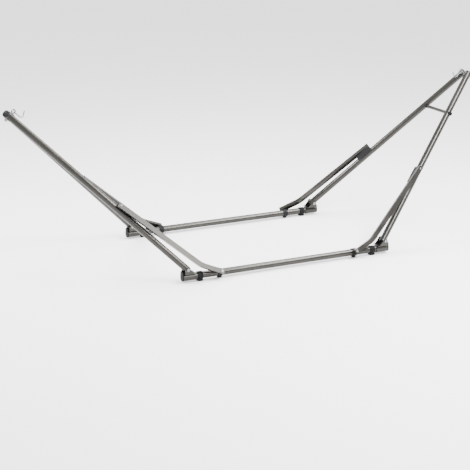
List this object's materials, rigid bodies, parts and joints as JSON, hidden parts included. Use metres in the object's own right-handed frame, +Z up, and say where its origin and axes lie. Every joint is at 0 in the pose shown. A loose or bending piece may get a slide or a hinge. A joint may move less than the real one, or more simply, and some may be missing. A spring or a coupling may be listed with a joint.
{
  "type": "folding hammock stand",
  "caption": "Free-standing tubular hammock stand: ground rails, leaning A-frames with bent braces, and a wire hook at each apex; folds inwards",
  "frame": {"origin": "on the ground, under the middle of the stand", "axes": "+X along the ground rails towards the right-hand hook, +Y to the rear rail, +Z up"},
  "size_m": [2.8872, 0.997, 0.939],
  "materials": {
    "tube_steel": "glossy grey hammered powder coat",
    "black_plastic": "matt black moulded",
    "black_steel": "satin black powder coat",
    "zinc": "bright zinc plate"
  },
  "bodies": {
    "base": {"front_base_tube": "tube_steel", "rear_base_tube": "tube_steel", "front_left_end_bracket": "tube_steel", "front_left_end_cap": "black_plastic", "front_left_foot": "black_plastic", "front_left_brace_clamp": "black_steel", "front_left_brace_bolt": "zinc", "front_left_leg_pivot_bolt": "zinc", "rear_left_end_bracket": "tube_steel", "rear_left_end_cap": "black_plastic", "rear_left_foot": "black_plastic", "rear_left_brace_clamp": "black_steel", "rear_left_brace_bolt": "zinc", "rear_left_leg_pivot_bolt": "zinc", "front_right_end_bracket": "tube_steel", "front_right_end_cap": "black_plastic", "front_right_foot": "black_plastic", "front_right_brace_clamp": "black_steel", "front_right_brace_bolt": "zinc", "front_right_leg_pivot_bolt": "zinc", "rear_right_end_bracket": "tube_steel", "rear_right_end_cap": "black_plastic", "rear_right_foot": "black_plastic", "rear_right_brace_clamp": "black_steel", "rear_right_brace_bolt": "zinc", "rear_right_leg_pivot_bolt": "zinc"},
    "left_a_frame": {"front_left_leg": "tube_steel", "front_left_leg_plug": "black_plastic", "front_left_leg_cap": "black_plastic", "rear_left_leg": "tube_steel", "rear_left_leg_plug": "black_plastic", "rear_left_leg_cap": "black_plastic", "left_spreader_bar": "tube_steel", "left_spreader_knob": "black_plastic", "left_eye_bolt": "zinc", "left_eye_nut": "zinc"},
    "front_left_brace_arm": {"front_left_brace": "tube_steel", "front_left_brace_cradle": "black_steel"},
    "front_left_lock": {"front_left_lock_pin": "zinc"},
    "rear_left_brace_arm": {"rear_left_brace": "tube_steel", "rear_left_brace_cradle": "black_steel"},
    "rear_left_lock": {"rear_left_lock_pin": "zinc"},
    "left_hook_link": {"left_hook": "zinc"},
    "right_a_frame": {"front_right_leg": "tube_steel", "front_right_leg_plug": "black_plastic", "front_right_leg_cap": "black_plastic", "rear_right_leg": "tube_steel", "rear_right_leg_plug": "black_plastic", "rear_right_leg_cap": "black_plastic", "right_spreader_bar": "tube_steel", "right_spreader_knob": "black_plastic", "right_eye_bolt": "zinc", "right_eye_nut": "zinc"},
    "front_right_brace_arm": {"front_right_brace": "tube_steel", "front_right_brace_cradle": "black_steel"},
    "front_right_lock": {"front_right_lock_pin": "zinc"},
    "rear_right_brace_arm": {"rear_right_brace": "tube_steel", "rear_right_brace_cradle": "black_steel"},
    "rear_right_lock": {"rear_right_lock_pin": "zinc"},
    "right_hook_link": {"right_hook": "zinc"}
  },
  "joints": [
    {"name": "left_fold", "type": "hinge", "parent": "base", "child": "left_a_frame", "pos_m": [-0.608, 0, 0.077], "axis": [0, 1, 0], "range_deg": [0, 132]},
    {"name": "front_left_brace_fold", "type": "hinge", "parent": "base", "child": "front_left_brace_arm", "pos_m": [-0.416, -0.48087, 0.0451], "axis": [0, 0.9177, -0.3972], "range_deg": [0, 136.2]},
    {"name": "front_left_lock_pull", "type": "slide", "parent": "front_left_brace_arm", "child": "front_left_lock", "axis": [0, -0.9177, 0.3972], "range_m": [0, 0.012], "stiffness_N_per_m": 400},
    {"name": "rear_left_brace_fold", "type": "hinge", "parent": "base", "child": "rear_left_brace_arm", "pos_m": [-0.416, 0.48087, 0.0451], "axis": [0, 0.9177, 0.3972], "range_deg": [0, 136.2]},
    {"name": "rear_left_lock_pull", "type": "slide", "parent": "rear_left_brace_arm", "child": "rear_left_lock", "axis": [0, 0.9177, 0.3972], "range_m": [0, 0.012], "stiffness_N_per_m": 400},
    {"name": "left_hook_swing", "type": "hinge", "parent": "left_a_frame", "child": "left_hook_link", "pos_m": [-1.39, 0, 0.92549], "axis": [0, -1, 0], "range_deg": [0, 110]},
    {"name": "right_fold", "type": "hinge", "parent": "base", "child": "right_a_frame", "pos_m": [0.608, 0, 0.077], "axis": [0, -1, 0], "range_deg": [0, 118]},
    {"name": "front_right_brace_fold", "type": "hinge", "parent": "base", "child": "front_right_brace_arm", "pos_m": [0.416, -0.48087, 0.0451], "axis": [0, -0.9177, 0.3972], "range_deg": [0, 119.2]},
    {"name": "front_right_lock_pull", "type": "slide", "parent": "front_right_brace_arm", "child": "front_right_lock", "axis": [0, -0.9177, 0.3972], "range_m": [0, 0.012], "stiffness_N_per_m": 400},
    {"name": "rear_right_brace_fold", "type": "hinge", "parent": "base", "child": "rear_right_brace_arm", "pos_m": [0.416, 0.48087, 0.0451], "axis": [0, -0.9177, -0.3972], "range_deg": [0, 119.2]},
    {"name": "rear_right_lock_pull", "type": "slide", "parent": "rear_right_brace_arm", "child": "rear_right_lock", "axis": [0, 0.9177, 0.3972], "range_m": [0, 0.012], "stiffness_N_per_m": 400},
    {"name": "right_hook_swing", "type": "hinge", "parent": "right_a_frame", "child": "right_hook_link", "pos_m": [1.39, 0, 0.92549], "axis": [0, 1, 0], "range_deg": [0, 110]}
  ],
  "couplings": [
    {"joint": "front_left_brace_fold", "follows": "left_fold", "ratio": 1.0314},
    {"joint": "rear_left_brace_fold", "follows": "left_fold", "ratio": 1.0314},
    {"joint": "front_right_brace_fold", "follows": "right_fold", "ratio": 1.0097},
    {"joint": "rear_right_brace_fold", "follows": "right_fold", "ratio": 1.0097}
  ]
}
